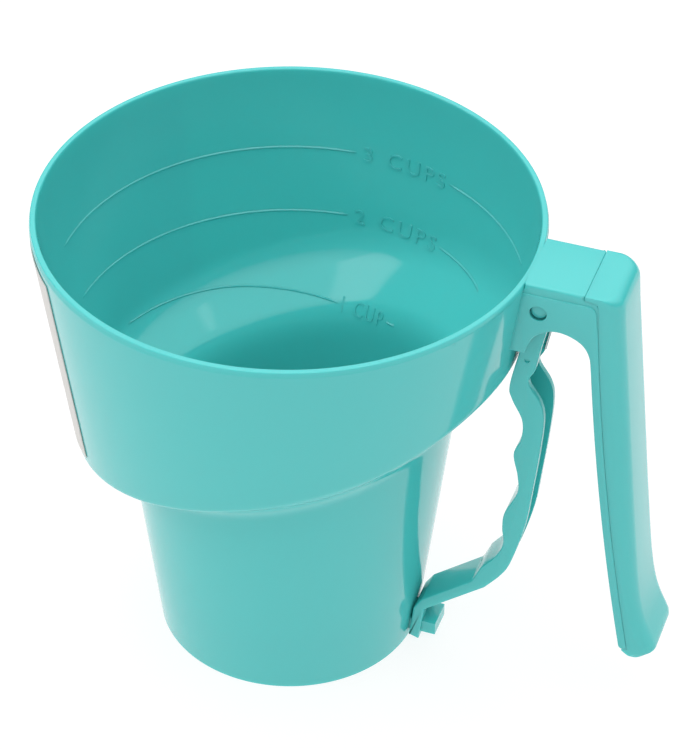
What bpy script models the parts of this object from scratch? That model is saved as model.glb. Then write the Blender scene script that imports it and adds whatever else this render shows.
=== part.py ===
"""Squeeze-handle flour sifter: a two-stage plastic cup with a sprung trigger that rocks an agitator over a screen.

Metres, +Z up.  The cup stands on z = 0.  +X points from the cup's axis to the handle.
The origin is the middle of the object's footprint box, so the cup's axis lies at x = CUP_X.
Shapes below are written from the cup's axis and hang on one empty that carries them to CUP_X.
"""
import math

import bmesh
import bpy
import numpy as np
from mathutils import Vector

# ------------------------------------------------------------------ driving dimensions
CUP_HEIGHT = 0.1374
RIM_RADIUS = 0.0680
RIM_STEP_HEIGHT = 0.0012      # the rim's outer edge is set in by a small step
RIM_STEP = 0.0004
UPPER_TAPER = 0.1366          # radius gained per metre of height, upper wall
FOOT_RADIUS = 0.0371
LOWER_TAPER = 0.1148          # radius gained per metre of height, lower wall
WALL = 0.0020
SKIRT_HEIGHT = 0.0822         # height of the upper wall's slanting lower edge where it crosses the cup's axis
SKIRT_SLOPE = 0.310           # that edge climbs towards the handle
SKIRT_LIFT = 0.0032           # extra climb right under the bracket
SKIRT_LIFT_ANGLE = math.radians(38.0)
SKIRT_ROUND = 0.0018
FUNNEL_HEIGHT = 0.0322        # the inner funnel, carried on down, meets the axis here
FUNNEL_GRADE = 0.900
FUNNEL_SLOPE = 0.240          # the funnel climbs towards the handle too
THROAT_LIFT = 0.3             # share of the lift under the bracket that reaches the throat
FUNNEL_ROUND = 0.0060         # reach of the soft bend between upper wall and funnel
THROAT_ROUND = 0.0045         # reach of the bend between funnel and lower wall, along the funnel
THROAT_DROP = 0.0080          # and down the lower wall

HANDLE_WIDTH = 0.0210
HANDLE_TOP_LEAN = 0.0928      # how fast the grip leans outwards at its top
HANDLE_CURVE = 0.543          # and how much faster it leans further down (per metre)
GRIP_TOP_X = RIM_RADIUS + 0.0180
GRIP_TOP_Z = CUP_HEIGHT - 0.0234
GRIP_BOTTOM_Z = 0.0187
FRONT_STRIP = 0.0023          # depth of the front strip, measured through the grip
GRIP_DEPTHS = ((1.00, 0.0086), (0.85, 0.0089), (0.55, 0.0088), (0.365, 0.0081), (0.196, 0.0073),
               (0.104, 0.0077), (0.024, 0.0100))      # (share of the grip's height, depth)
SHELL_WALL = 0.0018
SHELL_EDGE = 0.0028
SHELL_TOP_WALL = 0.0013
BRACKET_REACH = RIM_RADIUS + 0.0150   # where the bracket's top plate ends
BRACKET_RISE = 0.0007         # the bracket stands a little above the rim
BRACKET_TOP_PLATE = 0.0032
EAR_WALL = 0.0026
EAR_BOTTOM_Z = CUP_HEIGHT - 0.0213
EAR_TOE_X = RIM_RADIUS + 0.0001
ARCH_TOP_Z = CUP_HEIGHT - 0.0124
ARCH_SHAPE = ((0.0141, 0.0060), (0.0122, 0.0026), (0.0088, 0.0006), (0.0050, 0.0000),
              (0.0017, 0.0011), (-0.0012, 0.0037))   # (x from the pivot, drop below the arch's top)
BRACKET_BACK_WALL = 0.0022

PIVOT_X = RIM_RADIUS + 0.0032
PIVOT_Z = CUP_HEIGHT - 0.0076
PIN_RADIUS = 0.00215
PIN_RECESS = 0.0005

TRIGGER_WIDTH = 0.0114
TRIGGER_WALL = 0.0018
TRIGGER_HUB = 0.0039
TRIGGER_GUARD = ((-0.0056, -0.0173), (-0.0079, -0.0298))   # cup-facing points, (x, z) from the pivot
TRIGGER_WAVES = ((-0.0079, -0.0298), (-0.0070, -0.0345), (-0.0040, -0.0408), (-0.0040, -0.0472),
                 (-0.0058, -0.0530), (-0.0044, -0.0603), (-0.0042, -0.0663), (-0.0074, -0.0743),
                 (-0.0079, -0.0798), (-0.0074, -0.0853), (-0.0090, -0.0903), (-0.0134, -0.0965))
TRIGGER_BACK = ((-0.0077, -0.0976), (-0.0050, -0.0919), (-0.0016, -0.0780), (-0.0001, -0.0651),
                (0.0013, -0.0509), (0.0019, -0.0394), (0.0007, -0.0336), (-0.0028, -0.0276))
TRIGGER_NECK = ((-0.0012, -0.0230), (-0.0002, -0.0166), (0.0012, -0.0098))
ELBOW_Z = 0.0278              # where the trigger turns in towards the foot, and where it turns down
KNEE_Z = 0.0163
KNEE_FOOT_Z = 0.0125
SQUEEZE_ANGLE = math.radians(10.0)
FOOT_PLATE = 0.0030
FOOT_PLATE_Z = 0.0010

SPRING_WIRE = 0.0008
SPRING_COIL = 0.0030
SPRING_SPREAD = TRIGGER_WIDTH - 2 * TRIGGER_WALL - 0.0022   # the coil stays clear of the trigger's flanges
SPRING_TURNS = 4

LINK_Z = 0.0034
LINK_HEIGHT = 0.0030
LINK_WIDTH = 0.0080
LINK_NECK = 0.0030
LINK_HEAD = 0.0028
LINK_HEAD_WIDTH = 0.0056
CRANK_RADIUS = 0.0180
CRANK_PIN_RADIUS = 0.0020
CRANK_THICKNESS = 0.0030
SHAFT_RADIUS = 0.0020
SCREEN_LEDGE_Z = 0.0140
SCREEN_FRAME_HEIGHT = 0.0040
SCREEN_THICKNESS = 0.0004
CLAMP_HEIGHT = 0.0022
RING_WIDTH = 0.0032
AGITATOR_HEIGHT = 0.0065
AGITATOR_ARMS = 4
BLADE = 0.0018
HUB_RADIUS = 0.0055

LABEL_HALF_ANGLE = math.radians(43.0)
LABEL_THICKNESS = 0.00025
LABEL_MARGIN = 0.0045

GAP = 0.0003                  # clearance between pieces that touch
RUNNING = 0.0002              # radial clearance of a turning pin
STEPS = 72                    # facets round the cup

TEAL = (0.105, 0.545, 0.490, 1.0)
DEEP_TEAL = (0.060, 0.400, 0.370, 1.0)
STEEL = (0.60, 0.60, 0.62, 1.0)
WHITE = (0.83, 0.82, 0.80, 1.0)

# ------------------------------------------------------------------ derived sizes
HALF = HANDLE_WIDTH / 2
TRIGGER_HALF = TRIGGER_WIDTH / 2
PIVOT = Vector((PIVOT_X, 0.0, PIVOT_Z))
BRACKET_TOP = CUP_HEIGHT + BRACKET_RISE
LINK_MID_Z = LINK_Z + LINK_HEIGHT / 2
LINK_TOP_Z = LINK_Z + LINK_HEIGHT


def upper_radius(z):
    """Outer radius of the upper wall."""
    return RIM_RADIUS - UPPER_TAPER * (CUP_HEIGHT - z)


def lower_radius(z):
    """Outer radius of the lower wall."""
    return FOOT_RADIUS + LOWER_TAPER * z


def grip_front(z):
    """The grip's cup-facing face: a line that leans outwards faster and faster on its way down."""
    drop = GRIP_TOP_Z - z
    return GRIP_TOP_X + HANDLE_TOP_LEAN * drop + HANDLE_CURVE * drop * drop


def grip_seam(z):
    """The parting line between the front strip and the back shell."""
    return grip_front(z) + FRONT_STRIP


def station_height(share):
    return GRIP_BOTTOM_Z + share * (CUP_HEIGHT - GRIP_BOTTOM_Z)


def grip_back(z):
    """The grip's rear face, its depth blended between a few stations."""
    heights = [station_height(share) for share, depth in reversed(GRIP_DEPTHS)]
    depths = [depth for share, depth in reversed(GRIP_DEPTHS)]
    return grip_front(z) + float(np.interp(z, heights, depths))


UPPER_OUTSIDE = (RIM_RADIUS - UPPER_TAPER * CUP_HEIGHT, UPPER_TAPER)     # walls as (radius at z = 0, taper)
UPPER_INSIDE = (UPPER_OUTSIDE[0] - WALL, UPPER_TAPER)
LOWER_OUTSIDE = (FOOT_RADIUS, LOWER_TAPER)
LOWER_INSIDE = (FOOT_RADIUS - WALL, LOWER_TAPER)

LINK_REST_X = lower_radius(LINK_MID_Z) + GAP + FOOT_PLATE / 2      # middle of the trigger's foot plate
LINK_ARM = Vector((LINK_REST_X - PIVOT_X, 0.0, LINK_MID_Z - PIVOT_Z))
LINK_STROKE = (LINK_ARM.x * (math.cos(SQUEEZE_ANGLE) - 1)
               - LINK_ARM.z * math.sin(SQUEEZE_ANGLE))
FOOT_DROP = -(LINK_ARM.x * math.sin(SQUEEZE_ANGLE)
              + LINK_ARM.z * (math.cos(SQUEEZE_ANGLE) - 1))
CRANK_SWING = math.asin(LINK_STROKE / 2 / CRANK_RADIUS)            # each side of the middle
YOKE_PLAY = CRANK_RADIUS * 0.018 + GAP                             # sine against straight travel
YOKE_X = -LINK_STROKE / 2

FRAME_Z = SCREEN_LEDGE_Z + GAP
FRAME_TOP_Z = FRAME_Z + SCREEN_FRAME_HEIGHT
SCREEN_Z = FRAME_TOP_Z + GAP
CLAMP_Z = SCREEN_Z + SCREEN_THICKNESS + GAP
AGITATOR_Z = SCREEN_Z + SCREEN_THICKNESS + 0.0007
AGITATOR_TOP_Z = AGITATOR_Z + AGITATOR_HEIGHT
CRANK_Z = LINK_TOP_Z + 0.0010
CRANK_TOP_Z = CRANK_Z + CRANK_THICKNESS


# ------------------------------------------------------------------ scene helpers
def clear_scene():
    for obj in list(bpy.data.objects):
        bpy.data.objects.remove(obj, do_unlink=True)


def new_collection(name):
    made = bpy.data.collections.new(name)
    bpy.context.scene.collection.children.link(made)
    return made


def finish_material(name, color, roughness, metallic):
    mat = bpy.data.materials.new(name)
    mat.use_nodes = True
    shader = mat.node_tree.nodes["Principled BSDF"]
    shader.inputs["Base Color"].default_value = color
    shader.inputs["Roughness"].default_value = roughness
    shader.inputs["Metallic"].default_value = metallic
    mat.diffuse_color = color
    return mat


def place(obj, material=None, smooth=True):
    """Put an object in the right collection, on the carrying empty."""
    for old in list(obj.users_collection):
        old.objects.unlink(obj)
    (PARTS if material else CUTTERS).objects.link(obj)
    obj.parent = CARRIER
    if material:
        obj.data.materials.clear()
        obj.data.materials.append(material)
        if smooth and obj.type == "MESH":
            obj.data.shade_smooth()
            obj.data.set_sharp_from_angle(angle=math.radians(32))
    else:
        obj.hide_render = True
        obj.display_type = "WIRE"
    return obj


def from_bmesh(name, shape):
    bmesh.ops.recalc_face_normals(shape, faces=shape.faces)
    mesh = bpy.data.meshes.new(name)
    shape.to_mesh(mesh)
    shape.free()
    return bpy.data.objects.new(name, mesh)


def cut(obj, tool, operation="DIFFERENCE"):
    step = obj.modifiers.new(tool.name, "BOOLEAN")
    step.operation = operation
    step.object = tool
    step.solver = "EXACT"
    return step


# ------------------------------------------------------------------ shape helpers
def rounded(corners, steps=4):
    """A closed outline from corners (a, b, radius): each corner becomes an arc of that radius."""
    points = []
    count = len(corners)
    for i, (a, b, radius) in enumerate(corners):
        here = Vector((a, b))
        back = Vector(corners[i - 1][:2]) - here
        ahead = Vector(corners[(i + 1) % count][:2]) - here
        half = back.angle(ahead) / 2
        if radius <= 0 or half > math.radians(88):
            points.append(here)
            continue
        reach = min(radius / math.tan(half), back.length * 0.49, ahead.length * 0.49)
        radius = reach * math.tan(half)
        middle = here + (back.normalized() + ahead.normalized()).normalized() * radius / math.sin(half)
        start = here + back.normalized() * reach - middle
        end = here + ahead.normalized() * reach - middle
        for k in range(steps + 1):
            mix = start.slerp(end, k / steps)
            points.append(middle + mix.normalized() * radius)
    return points


def smooth_line(points, steps=3):
    """An open line through the points, rounded by Catmull-Rom curves between them."""
    pts = [Vector(p) for p in points]
    padded = [2 * pts[0] - pts[1]] + pts + [2 * pts[-1] - pts[-2]]
    line = []
    for i in range(1, len(padded) - 2):
        p0, p1, p2, p3 = padded[i - 1:i + 3]
        for k in range(steps):
            t = k / steps
            line.append(0.5 * (2 * p1 + (p2 - p0) * t + (2 * p0 - 5 * p1 + 4 * p2 - p3) * t ** 2
                               + (3 * p1 - p0 - 3 * p2 + p3) * t ** 3))
    line.append(pts[-1])
    return line


def plate(name, outlines, thickness, upright=False):
    """A flat plate from closed outlines; upright ones lie in XZ with the thickness along Y, centred."""
    curve = bpy.data.curves.new(name, "CURVE")
    curve.dimensions = "2D"
    curve.fill_mode = "BOTH"
    curve.extrude = thickness / 2
    for outline in outlines:
        spline = curve.splines.new("POLY")
        spline.points.add(len(outline) - 1)
        for point, (a, b) in zip(spline.points, outline):
            point.co = (a, b, 0.0, 1.0)
        spline.use_cyclic_u = True
    drawn = bpy.data.objects.new(name, curve)
    CUTTERS.objects.link(drawn)
    bpy.context.view_layer.update()
    mesh = bpy.data.meshes.new_from_object(drawn.evaluated_get(bpy.context.evaluated_depsgraph_get()))
    bpy.data.objects.remove(drawn)
    bpy.data.curves.remove(curve)
    shape = bmesh.new()
    shape.from_mesh(mesh)
    bpy.data.meshes.remove(mesh)
    bmesh.ops.remove_doubles(shape, verts=shape.verts, dist=1e-6)
    bmesh.ops.dissolve_limit(shape, angle_limit=math.radians(0.05), verts=shape.verts, edges=shape.edges)
    if upright:
        for vert in shape.verts:
            a, b, c = vert.co
            vert.co = (a, -c, b)
    return from_bmesh(name, shape)


def lift(obj, z):
    for vert in obj.data.vertices:
        vert.co.z += z
    return obj


def pivoted(obj, centre):
    """Give an object its origin on a joint's axis without moving its shape."""
    for vert in obj.data.vertices:
        vert.co -= centre
    obj.location = centre
    return obj


def shift(obj, x=0.0, y=0.0, z=0.0):
    for vert in obj.data.vertices:
        vert.co += Vector((x, y, z))
    return obj


def rod(name, radius, z0, z1, steps=28, x=0.0, y=0.0):
    """An upright round bar."""
    shape = bmesh.new()
    bmesh.ops.create_cone(shape, cap_ends=True, segments=steps, radius1=radius, radius2=radius, depth=z1 - z0)
    obj = from_bmesh(name, shape)
    return shift(obj, x, y, (z0 + z1) / 2)


def cross_rod(name, radius, y0, y1, x, z, steps=28):
    """A round bar along Y."""
    obj = rod(name, radius, y0, y1, steps)
    for vert in obj.data.vertices:
        a, b, c = vert.co
        vert.co = (a + x, c, z - b)
    return obj


def block(name, low, high):
    shape = bmesh.new()
    bmesh.ops.create_cube(shape, size=1.0)
    low, high = Vector(low), Vector(high)
    for vert in shape.verts:
        vert.co = Vector(v * s for v, s in zip(vert.co, high - low)) + (low + high) / 2
    return from_bmesh(name, shape)


def turned(name, profile, steps=STEPS):
    """A closed profile of (radius, z) turned about the cup's axis."""
    mesh = bpy.data.meshes.new(name)
    points = [(r, 0.0, z) for r, z in profile]
    mesh.from_pydata(points, [(i, (i + 1) % len(points)) for i in range(len(points))], [])
    obj = bpy.data.objects.new(name, mesh)
    screw = obj.modifiers.new("turn", "SCREW")
    screw.axis = "Z"
    screw.steps = steps
    screw.render_steps = steps
    screw.use_merge_vertices = True
    screw.merge_threshold = 1e-5
    CUTTERS.objects.link(obj)
    bpy.context.view_layer.update()
    mesh = bpy.data.meshes.new_from_object(obj.evaluated_get(bpy.context.evaluated_depsgraph_get()))
    bpy.data.objects.remove(obj)
    shape = bmesh.new()
    shape.from_mesh(mesh)
    bpy.data.meshes.remove(mesh)
    return from_bmesh(name, shape)


def ring(name, inner, outer, z0, z1, steps=STEPS):
    return turned(name, [(outer, z1), (outer, z0), (inner, z0), (inner, z1)], steps)


# ------------------------------------------------------------------ the cup
def meeting(wall, height, grade):
    """Corner (radius, z) where a wall, radius = a + b z, meets a slope, z = height + grade radius."""
    a, b = wall
    z = (height + grade * a) / (1 - grade * b)
    return Vector((a + b * z, z))


def on_wall(wall, z):
    return Vector((wall[0] + wall[1] * z, z))


def lift_at(angle):
    """Extra climb of skirt and funnel right under the bracket."""
    folded = abs((angle + math.pi) % (2 * math.pi) - math.pi)
    return SKIRT_LIFT * math.exp(-(folded / SKIRT_LIFT_ANGLE) ** 4)


def funnel_at(angle):
    """Height on the axis, grade and underside height of the funnel at an angle."""
    steep = FUNNEL_GRADE + FUNNEL_SLOPE * math.cos(angle)
    return FUNNEL_HEIGHT, steep, FUNNEL_HEIGHT - WALL * math.hypot(1, steep)


def skirt_edge(angle):
    """The upper wall's lower edge, outside, at an angle; it never runs above the funnel's underside."""
    top, steep, under = funnel_at(angle)
    edge = meeting(UPPER_OUTSIDE, SKIRT_HEIGHT + lift_at(angle), SKIRT_SLOPE * math.cos(angle))
    limit = meeting(UPPER_OUTSIDE, under + lift_at(angle), steep)
    return min(edge, limit, key=lambda corner: corner.y)


def bend(before, corner, after, reach_before, reach_after, steps=4):
    """A soft curve past a corner, from its reach on the line before to its reach on the line after."""
    back, ahead = before - corner, after - corner
    start = corner + back * min(reach_before / back.length, 0.45)
    end = corner + ahead * min(reach_after / ahead.length, 0.45)
    return [(1 - t) ** 2 * start + 2 * t * (1 - t) * corner + t * t * end
            for t in (k / steps for k in range(steps + 1))]


def outer_side(angle):
    """Outside of the cup from rim to foot: upper wall, its free lower edge, funnel underside, lower wall."""
    top, steep, under = funnel_at(angle)
    high = under + lift_at(angle)
    rim = on_wall(UPPER_OUTSIDE, CUP_HEIGHT)
    edge = skirt_edge(angle)
    lip = on_wall(UPPER_INSIDE, edge.y)
    lip.y = min(lip.y, high + steep * lip.x)
    pocket = meeting((UPPER_INSIDE[0] - 2 * GAP, UPPER_TAPER), high, steep)
    throat = meeting(LOWER_OUTSIDE, under + THROAT_LIFT * lift_at(angle), steep)
    foot = on_wall(LOWER_OUTSIDE, 0.0)
    line = bend(rim, edge, lip, SKIRT_ROUND, SKIRT_ROUND / 2, 3) + [lip]
    line += bend(lip, pocket, throat, 0.0012, 0.0012, 2)
    line += bend(pocket, throat, foot, THROAT_ROUND, THROAT_ROUND)
    return line + [foot]


def inner_side(angle):
    """Inside of the cup from rim to foot: upper wall, funnel, lower wall, with soft bends between."""
    top, steep, under = funnel_at(angle)
    rim = on_wall(UPPER_INSIDE, CUP_HEIGHT)
    brink = meeting(UPPER_INSIDE, top + lift_at(angle), steep)
    throat = meeting(LOWER_INSIDE, top + THROAT_LIFT * lift_at(angle), steep)
    foot = on_wall(LOWER_INSIDE, 0.0)
    line = [rim] + bend(rim, brink, throat, FUNNEL_ROUND, FUNNEL_ROUND)
    line += bend(brink, throat, foot, THROAT_ROUND, THROAT_DROP)
    return line + [foot]


def cup_shell():
    """The cup's wall: an outer and an inner side joined at the rim and the foot, carried round the axis."""
    rings = []
    for i in range(STEPS):
        angle = 2 * math.pi * i / STEPS
        outer = outer_side(angle)
        inner = inner_side(angle)
        below = CUP_HEIGHT - RIM_STEP_HEIGHT
        edge = RIM_RADIUS - RIM_STEP
        section = [(edge - RIM_STEP, CUP_HEIGHT), (edge, CUP_HEIGHT - RIM_STEP), (edge, below)]
        section += [(upper_radius(below), below)] + outer
        ledge = SCREEN_LEDGE_Z
        bore = lower_radius(ledge) - WALL
        floor = [(bore - 0.0015 - LOWER_TAPER * 0.0016, ledge - 0.0016), (bore - 0.0015, ledge), (bore, ledge)]
        floor.insert(0, (bore - LOWER_TAPER * 0.0030, ledge - 0.0030))
        section += [inner[-1]] + floor + list(reversed(inner[:-1]))
        rings.append([(r * math.cos(angle), r * math.sin(angle), z) for r, z in section])
    count = len(rings[0])
    verts = [point for one in rings for point in one]
    faces = []
    for i in range(STEPS):
        a, b = i * count, (i + 1) % STEPS * count
        for k in range(count):
            n = (k + 1) % count
            faces.append((a + k, a + n, b + n, b + k))
    mesh = bpy.data.meshes.new("cup_body")
    mesh.from_pydata(verts, [], faces)
    shape = bmesh.new()
    shape.from_mesh(mesh)
    bpy.data.meshes.remove(mesh)
    return from_bmesh("cup_body", shape)


def bite(z):
    """Where the bracket starts inside the cup's wall: between its inner face and its outer face's edge."""
    outer = upper_radius(z)
    return (outer - WALL + math.sqrt(outer ** 2 - HALF ** 2)) / 2


def bracket_outline():
    """Side view of the bracket, its ears and the grip's front strip."""
    under_shell = BRACKET_TOP - SHELL_TOP_WALL - GAP
    strip_foot = GRIP_BOTTOM_Z + SHELL_WALL + GAP
    toe = EAR_TOE_X
    step = CUP_HEIGHT - RIM_STEP_HEIGHT
    plate_start = RIM_RADIUS - 2 * RIM_STEP
    corners = [(bite(step), step, 0), (plate_start, step, 0), (plate_start, BRACKET_TOP, 0),
               (BRACKET_REACH, BRACKET_TOP, 0), (BRACKET_REACH, under_shell, 0),
               (grip_seam(under_shell), under_shell, 0.0015)]
    corners += [(grip_seam(z), z, 0) for z in np.linspace(ARCH_TOP_Z, strip_foot + 0.004, 9)]
    corners += [(grip_seam(strip_foot), strip_foot, 0.0004), (grip_front(strip_foot), strip_foot, 0.0012)]
    corners += [(grip_front(z), z, 0) for z in np.linspace(strip_foot + 0.004, GRIP_TOP_Z, 9)]
    arch = smooth_line([(grip_front(GRIP_TOP_Z), GRIP_TOP_Z)]
                       + [(PIVOT_X + x, ARCH_TOP_Z - drop) for x, drop in ARCH_SHAPE]
                       + [(toe, EAR_BOTTOM_Z)], 3)[1:]
    corners += [(*point, 0) for point in arch] + [(bite(EAR_BOTTOM_Z), EAR_BOTTOM_Z, 0)]
    return rounded(corners, 5)


def make_cup_body():
    body = place(cup_shell(), PLASTIC)
    bracket = place(plate("bracket_solid", [bracket_outline()], HANDLE_WIDTH, upright=True))
    roof = BRACKET_TOP - BRACKET_TOP_PLATE
    back = grip_seam(roof) - BRACKET_BACK_WALL
    floor = EAR_BOTTOM_Z - 0.016
    inside = [(upper_radius(floor) - WALL, floor), (upper_radius(roof) - WALL * 0.4, roof), (back - 0.0010, roof),
              (back - 0.0002, EAR_BOTTOM_Z), (back, floor)]
    hollow = place(plate("bracket_hollow", [inside], HANDLE_WIDTH - 2 * EAR_WALL, upright=True))
    keep_cup = place(plate("bracket_front", [[(bite(z) - 0.01, z) for z in (floor - 0.01, CUP_HEIGHT + 0.01)]
                                             + [(bite(z), z) for z in (CUP_HEIGHT + 0.01, floor - 0.01)]],
                           HANDLE_WIDTH + 0.01, upright=True))
    cut(hollow, keep_cup)
    cut(bracket, hollow)
    cut(body, bracket, "UNION")
    pin_hole = place(cross_rod("pin_hole", PIN_RADIUS + 0.00015, -0.02, 0.02, PIVOT_X, PIVOT_Z))
    cut(body, pin_hole)
    slot_half = LINK_WIDTH / 2 + 0.0004
    window = block("link_window", (lower_radius(0) - 2.5 * WALL, -slot_half, LINK_Z - 0.0005),
                   (lower_radius(LINK_Z) + WALL, slot_half, LINK_TOP_Z + 0.0005))
    cut(body, place(window))
    return body


# ------------------------------------------------------------------ the grip's back shell
def shell_outline():
    under = BRACKET_TOP - SHELL_TOP_WALL
    start = BRACKET_REACH + GAP
    foot = GRIP_BOTTOM_Z
    shelf = foot + SHELL_WALL
    back_heights = [station_height(share) for share, depth in GRIP_DEPTHS[1:-1]]
    corners = [(start, BRACKET_TOP, 0), (grip_back(CUP_HEIGHT), BRACKET_TOP, 0.0030)]
    corners += [(grip_back(z), z, 0.03) for z in back_heights]
    lip = station_height(GRIP_DEPTHS[-1][0])
    corners += [(grip_back(lip), lip, 0.0022), (grip_back(lip) - 0.0034, foot, 0.0035),
                (grip_front(foot) + 0.0020, foot, 0.0040), (grip_front(shelf), shelf, 0)]
    corners += [(grip_seam(z) + GAP, z, 0) for z in np.linspace(shelf, ARCH_TOP_Z, 9)]
    corners += [(grip_seam(under) + GAP, under, 0.0012), (start, under, 0)]
    return rounded(corners, 3)


def make_back_shell():
    shell = place(plate("handle_back_shell", [shell_outline()], HANDLE_WIDTH, upright=True), PLASTIC)
    group = shell.vertex_groups.new(name="outer_edge")
    chosen = [v.index for v in shell.data.vertices
              if v.co.x > grip_front(v.co.z) + FRONT_STRIP + 4 * GAP and v.co.z > GRIP_BOTTOM_Z - 1e-4]
    group.add(chosen, 1.0, "REPLACE")
    edges = shell.modifiers.new("edges", "BEVEL")
    edges.width = SHELL_EDGE
    edges.segments = 3
    edges.limit_method = "VGROUP"
    edges.vertex_group = group.name
    heights = np.linspace(BRACKET_TOP - SHELL_TOP_WALL - SHELL_WALL, GRIP_BOTTOM_Z + SHELL_WALL + GAP, 10)
    inside = [(grip_back(z) - SHELL_WALL, z) for z in heights]
    inside += [(grip_seam(z) - 0.0010, z) for z in reversed(heights)]
    hollow = place(plate("shell_hollow", [inside], HANDLE_WIDTH - 2 * SHELL_WALL, upright=True))
    cut(shell, hollow)
    return shell


# ------------------------------------------------------------------ the trigger
def from_pivot(points):
    return [(PIVOT_X + x, PIVOT_Z + z) for x, z in points]


def foot_face(z):
    """The foot plate's face, a running gap from the cup's wall."""
    return lower_radius(z) + GAP


def trigger_front():
    """Cup-facing line of the trigger: hub, guard, two finger waves, the arm and its foot."""
    guard = from_pivot([(-TRIGGER_HUB, 0.0), TRIGGER_GUARD[0]])
    waves = from_pivot(TRIGGER_WAVES)
    arm = rounded([(*waves[-1], 0), (PIVOT_X - 0.0157, ELBOW_Z, 0.003), (foot_face(KNEE_Z) + 0.0019, KNEE_Z, 0.003),
                   (foot_face(KNEE_FOOT_Z), KNEE_FOOT_Z, 0.001), (foot_face(FOOT_PLATE_Z), FOOT_PLATE_Z, 0)])
    return [Vector(p) for p in guard] + smooth_line(waves) + arm[1:]


def trigger_back():
    """Grip-facing edge, from the foot back up to the hub."""
    low = [(foot_face(FOOT_PLATE_Z) + FOOT_PLATE, FOOT_PLATE_Z), (foot_face(KNEE_FOOT_Z) + FOOT_PLATE, KNEE_FOOT_Z),
           (foot_face(KNEE_Z) + 0.0044, KNEE_Z - 0.0022)]
    sweep = smooth_line([(PIVOT_X - 0.0121, ELBOW_Z - 0.0014)] + from_pivot(TRIGGER_BACK), 2)
    top = from_pivot(TRIGGER_NECK + ((TRIGGER_HUB, 0.0),))
    return [Vector(p) for p in low] + sweep + [Vector(p) for p in top]


def offset_line(line, amount):
    """The line moved sideways by an amount, each point along the mean normal of its neighbours."""
    pts = np.array([tuple(p) for p in line])
    along = np.gradient(pts, axis=0)
    along /= np.linalg.norm(along, axis=1)[:, None]
    return pts + amount * np.column_stack([-along[:, 1], along[:, 0]])


def make_trigger():
    front = trigger_front()
    hub = [(PIVOT_X + TRIGGER_HUB * math.cos(a), PIVOT_Z + TRIGGER_HUB * math.sin(a))
           for a in np.linspace(0, math.pi, 13)[1:-1]]
    outline = [tuple(p) for p in front] + [tuple(p) for p in trigger_back()] + hub
    trigger = place(pivoted(plate("trigger", [outline], TRIGGER_WIDTH, upright=True), PIVOT), PLASTIC)

    web = offset_line(front, TRIGGER_WALL)
    open_from = foot_face(KNEE_Z) + 0.0047
    keep = (web[:, 1] < PIVOT_Z - 0.0098) & (web[:, 0] > open_from)
    web = [tuple(p) for p in web[keep]]
    inside = web + [(open_from + 0.0022, KNEE_Z - 0.0063), (PIVOT_X + 0.02, KNEE_Z - 0.0063),
                    (PIVOT_X + 0.02, CUP_HEIGHT + 0.003), (PIVOT_X - 0.011, CUP_HEIGHT + 0.003),
                    (PIVOT_X - 0.011, PIVOT_Z - 0.0073)]
    hollow = place(plate("trigger_hollow", [inside], TRIGGER_WIDTH - 2 * TRIGGER_WALL, upright=True))
    cut(trigger, hollow)

    side_gap = HALF - EAR_WALL - GAP
    for side in (-1, 1):
        ends = sorted((side * (TRIGGER_HALF - 0.0005), side * side_gap))
        boss = place(cross_rod(f"hub_boss_{side}", TRIGGER_HUB, ends[0], ends[1], PIVOT_X, PIVOT_Z))
        cut(trigger, boss, "UNION")
    cut(trigger, place(cross_rod("trigger_bore", PIN_RADIUS + RUNNING, -0.02, 0.02, PIVOT_X, PIVOT_Z)))
    fork_half = LINK_NECK / 2 + GAP
    fork_top = LINK_TOP_Z + FOOT_DROP + 0.0006
    cut(trigger, place(block("fork_slot", (0.030, -fork_half, -0.010), (LINK_REST_X + FOOT_PLATE, fork_half, fork_top))))
    return trigger


def make_pivot_pin():
    reach = HALF - PIN_RECESS
    return place(pivoted(cross_rod("pivot_pin", PIN_RADIUS, -reach, reach, PIVOT_X, PIVOT_Z), PIVOT), PLASTIC)


def make_spring():
    """Torsion spring: a coil round the pin, one leg under the bracket's roof, one down the trigger."""
    rise = math.radians(40)
    start = -math.pi / 2 + rise
    total = 2 * math.pi * SPRING_TURNS + 2 * math.pi + start
    y0 = -SPRING_SPREAD / 2

    def on_coil(turned_by):
        a = start - turned_by
        return Vector((PIVOT_X + SPRING_COIL * math.cos(a), y0 + SPRING_SPREAD * turned_by / total,
                       PIVOT_Z + SPRING_COIL * math.sin(a)))

    roof = BRACKET_TOP - BRACKET_TOP_PLATE - GAP - SPRING_WIRE / 2
    first = on_coil(0.0)
    climb = roof - first.z
    points = [first + Vector((climb / math.tan(rise), 0.0, climb))]
    count = int(total / (2 * math.pi) * 14)
    points += [on_coil(total * k / count) for k in range(count + 1)]
    last = points[-1]
    points.append(Vector((PIVOT_X - 0.0010, last.y, PIVOT_Z - 0.0218)))
    curve = bpy.data.curves.new("return_spring", "CURVE")
    curve.dimensions = "3D"
    curve.bevel_depth = SPRING_WIRE / 2
    curve.bevel_resolution = 2
    curve.use_fill_caps = True
    spline = curve.splines.new("POLY")
    spline.points.add(len(points) - 1)
    for knot, point in zip(spline.points, points):
        knot.co = (*point, 1.0)
    return place(bpy.data.objects.new("return_spring", curve), METAL)


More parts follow.
